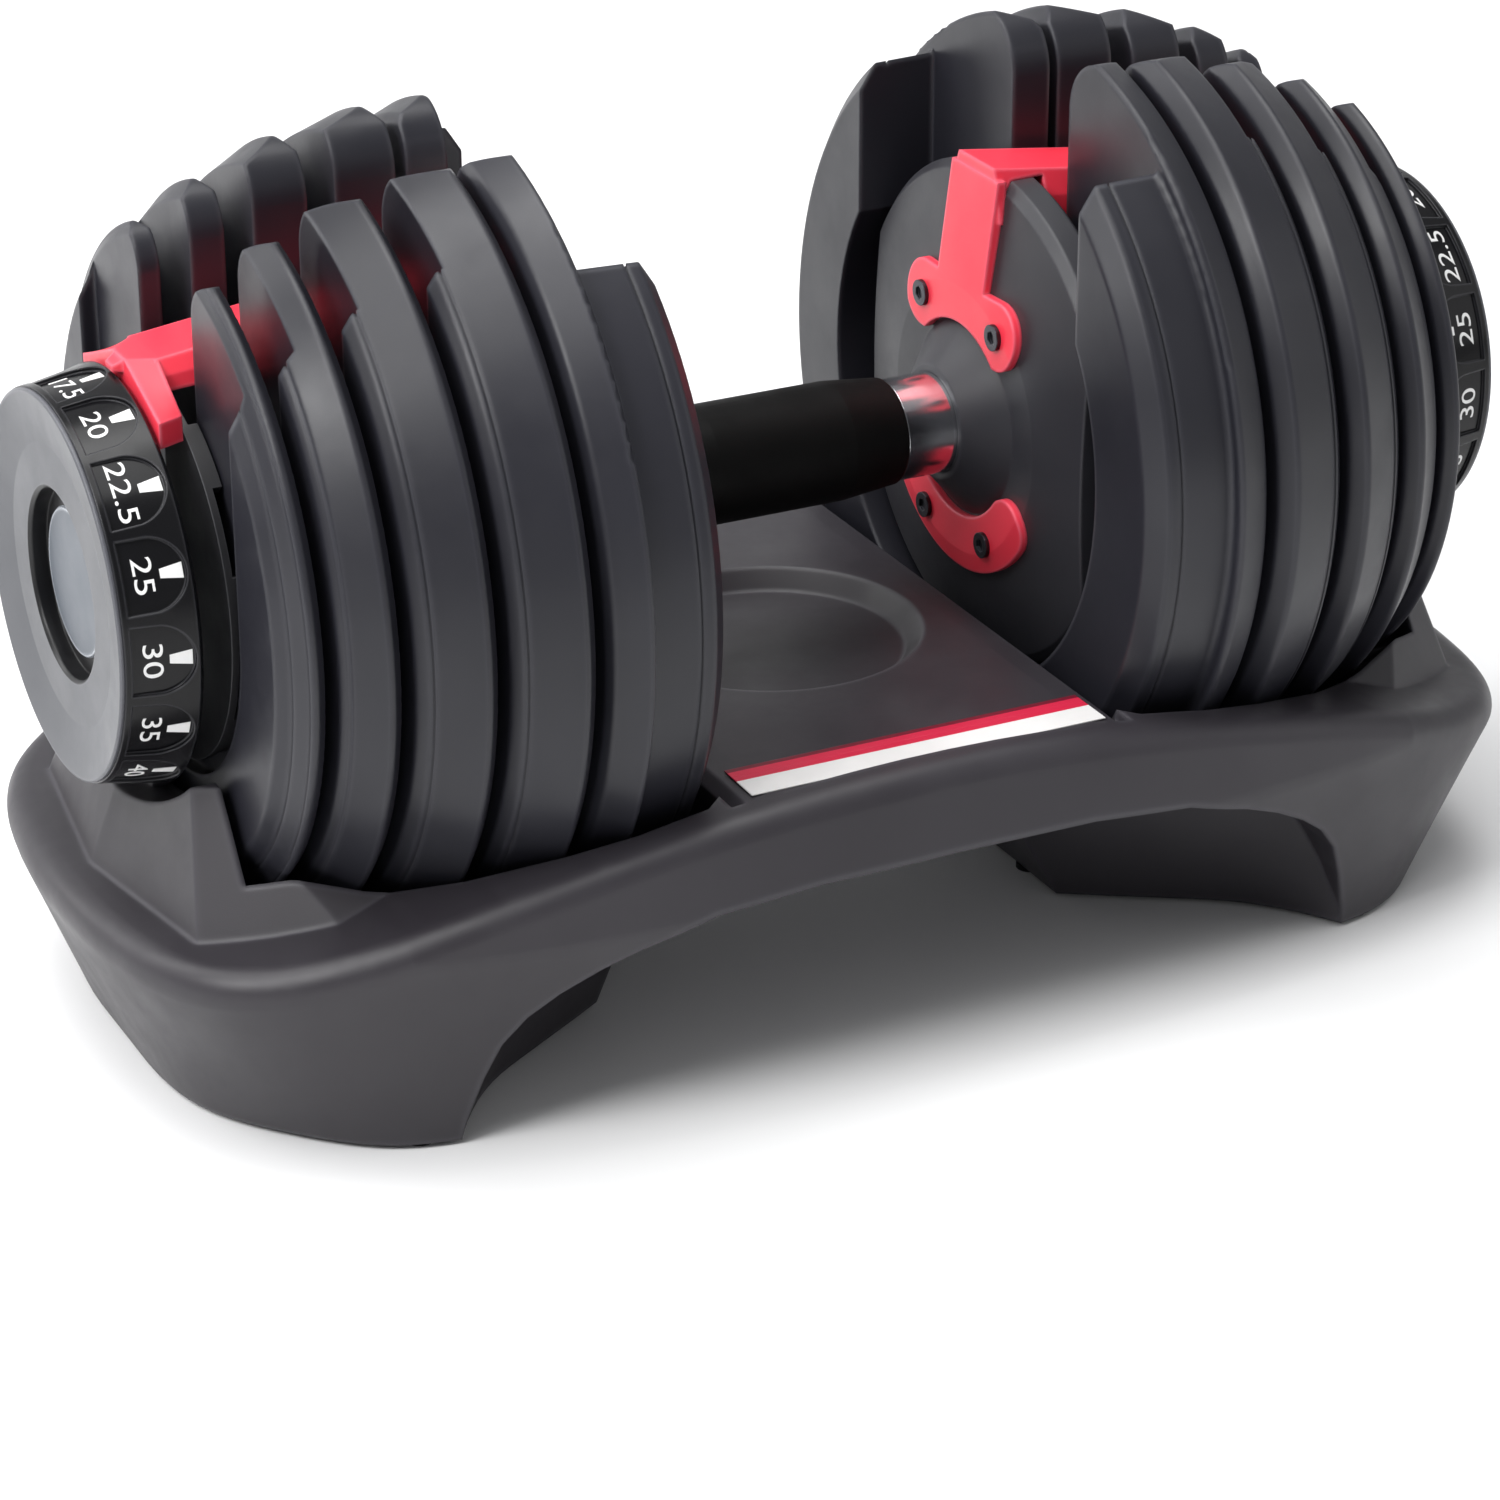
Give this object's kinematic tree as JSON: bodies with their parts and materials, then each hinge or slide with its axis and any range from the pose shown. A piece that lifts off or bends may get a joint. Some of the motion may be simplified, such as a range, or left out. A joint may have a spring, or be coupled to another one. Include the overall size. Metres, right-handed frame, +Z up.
{
  "type": "adjustable dumbbell with cradle",
  "caption": "Adjustable dumbbell in its cradle: turning the dial at each end selects which plates lift with the handle.",
  "frame": {"origin": "middle of the footprint, on the surface the cradle stands on", "axes": "+X along the handle, +Z up, -Y the side that the label faces"},
  "size_m": [0.4132, 0.2238, 0.2352],
  "materials": {
    "tray_plastic": "fine satin texture",
    "plate_plastic": "satin moulded nylon",
    "disc_plastic": "satin",
    "coral_plastic": "satin coral red",
    "grip_rubber": "matt",
    "bright_steel": "polished",
    "dial_plastic": "gloss",
    "cap_plastic": "satin",
    "button_plastic": "satin",
    "core_steel": "raw plate",
    "selector_steel": "black paint",
    "screw_steel": "blackened",
    "spring_steel": "bright",
    "bearing_steel": "satin grey",
    "label": "printed film",
    "foot_rubber": "matt"
  },
  "bodies": {
    "base": {"tray": "tray_plastic", "rubber_feet": "foot_rubber", "deck_label": "label"},
    "handle": {"handle_tube": "bright_steel", "grip": "grip_rubber", "bracket_screws": "screw_steel", "bearing_screws": "screw_steel", "detent_pins": "screw_steel", "lock_springs": "spring_steel", "left_inner_disc": "disc_plastic", "left_bridge": "coral_plastic", "left_lower_bracket": "coral_plastic", "left_bearing_plate": "bearing_steel", "right_inner_disc": "disc_plastic", "right_bridge": "coral_plastic", "right_lower_bracket": "coral_plastic", "right_bearing_plate": "bearing_steel"},
    "left_dial": {"left_dial_ring": "dial_plastic", "left_dial_cap": "cap_plastic", "left_dial_button": "button_plastic", "left_selector_shaft": "screw_steel", "left_shaft_nut": "screw_steel", "left_selector_disc_1": "selector_steel", "left_selector_disc_2": "selector_steel", "left_selector_disc_3": "selector_steel", "left_selector_disc_4": "selector_steel", "left_selector_disc_5": "selector_steel"},
    "left_lock": {"left_lock_pin": "screw_steel"},
    "left_plate_1": {"left_plate_1_shell": "plate_plastic", "left_plate_1_core": "core_steel"},
    "left_plate_2": {"left_plate_2_shell": "plate_plastic", "left_plate_2_core": "core_steel"},
    "left_plate_3": {"left_plate_3_shell": "plate_plastic", "left_plate_3_core": "core_steel"},
    "left_plate_4": {"left_plate_4_shell": "plate_plastic", "left_plate_4_core": "core_steel"},
    "left_plate_5": {"left_plate_5_shell": "plate_plastic", "left_plate_5_core": "core_steel"},
    "right_dial": {"right_dial_ring": "dial_plastic", "right_dial_cap": "cap_plastic", "right_dial_button": "button_plastic", "right_selector_shaft": "screw_steel", "right_shaft_nut": "screw_steel", "right_selector_disc_1": "selector_steel", "right_selector_disc_2": "selector_steel", "right_selector_disc_3": "selector_steel", "right_selector_disc_4": "selector_steel", "right_selector_disc_5": "selector_steel"},
    "right_lock": {"right_lock_pin": "screw_steel"},
    "right_plate_1": {"right_plate_1_shell": "plate_plastic", "right_plate_1_core": "core_steel"},
    "right_plate_2": {"right_plate_2_shell": "plate_plastic", "right_plate_2_core": "core_steel"},
    "right_plate_3": {"right_plate_3_shell": "plate_plastic", "right_plate_3_core": "core_steel"},
    "right_plate_4": {"right_plate_4_shell": "plate_plastic", "right_plate_4_core": "core_steel"},
    "right_plate_5": {"right_plate_5_shell": "plate_plastic", "right_plate_5_core": "core_steel"}
  },
  "joints": [
    {"name": "handle_lift", "type": "slide", "parent": "base", "child": "handle", "axis": [0, 0, 1], "range_m": [0, 0.25]},
    {"name": "left_dial_turn", "type": "hinge", "parent": "handle", "child": "left_dial", "pos_m": [-0.19, 0, 0.1316], "axis": [1, 0, 0], "continuous": true},
    {"name": "left_lock_slide", "type": "slide", "parent": "handle", "child": "left_lock", "axis": [0, 0, -1], "range_m": [0, 0.006]},
    {"name": "left_plate_1_lift", "type": "slide", "parent": "base", "child": "left_plate_1", "axis": [0, 0, 1], "range_m": [0, 0.25]},
    {"name": "left_plate_2_stay", "type": "slide", "parent": "handle", "child": "left_plate_2", "axis": [0, 0, -1], "range_m": [0, 0.25]},
    {"name": "left_plate_3_lift", "type": "slide", "parent": "base", "child": "left_plate_3", "axis": [0, 0, 1], "range_m": [0, 0.25]},
    {"name": "left_plate_4_stay", "type": "slide", "parent": "handle", "child": "left_plate_4", "axis": [0, 0, -1], "range_m": [0, 0.25]},
    {"name": "left_plate_5_stay", "type": "slide", "parent": "handle", "child": "left_plate_5", "axis": [0, 0, -1], "range_m": [0, 0.25]},
    {"name": "right_dial_turn", "type": "hinge", "parent": "handle", "child": "right_dial", "pos_m": [0.19, 0, 0.1316], "axis": [1, 0, 0], "continuous": true},
    {"name": "right_lock_slide", "type": "slide", "parent": "handle", "child": "right_lock", "axis": [0, 0, -1], "range_m": [0, 0.006]},
    {"name": "right_plate_1_lift", "type": "slide", "parent": "base", "child": "right_plate_1", "axis": [0, 0, 1], "range_m": [0, 0.25]},
    {"name": "right_plate_2_stay", "type": "slide", "parent": "handle", "child": "right_plate_2", "axis": [0, 0, -1], "range_m": [0, 0.25]},
    {"name": "right_plate_3_lift", "type": "slide", "parent": "base", "child": "right_plate_3", "axis": [0, 0, 1], "range_m": [0, 0.25]},
    {"name": "right_plate_4_stay", "type": "slide", "parent": "handle", "child": "right_plate_4", "axis": [0, 0, -1], "range_m": [0, 0.25]},
    {"name": "right_plate_5_stay", "type": "slide", "parent": "handle", "child": "right_plate_5", "axis": [0, 0, -1], "range_m": [0, 0.25]}
  ],
  "couplings": [
    {"joint": "left_lock_slide", "follows": "handle_lift", "ratio": 0.024},
    {"joint": "left_plate_1_lift", "follows": "handle_lift", "ratio": 1},
    {"joint": "left_plate_2_stay", "follows": "handle_lift", "ratio": 1},
    {"joint": "left_plate_3_lift", "follows": "handle_lift", "ratio": 1},
    {"joint": "left_plate_4_stay", "follows": "handle_lift", "ratio": 1},
    {"joint": "left_plate_5_stay", "follows": "handle_lift", "ratio": 1},
    {"joint": "right_lock_slide", "follows": "handle_lift", "ratio": 0.024},
    {"joint": "right_plate_1_lift", "follows": "handle_lift", "ratio": 1},
    {"joint": "right_plate_2_stay", "follows": "handle_lift", "ratio": 1},
    {"joint": "right_plate_3_lift", "follows": "handle_lift", "ratio": 1},
    {"joint": "right_plate_4_stay", "follows": "handle_lift", "ratio": 1},
    {"joint": "right_plate_5_stay", "follows": "handle_lift", "ratio": 1}
  ]
}
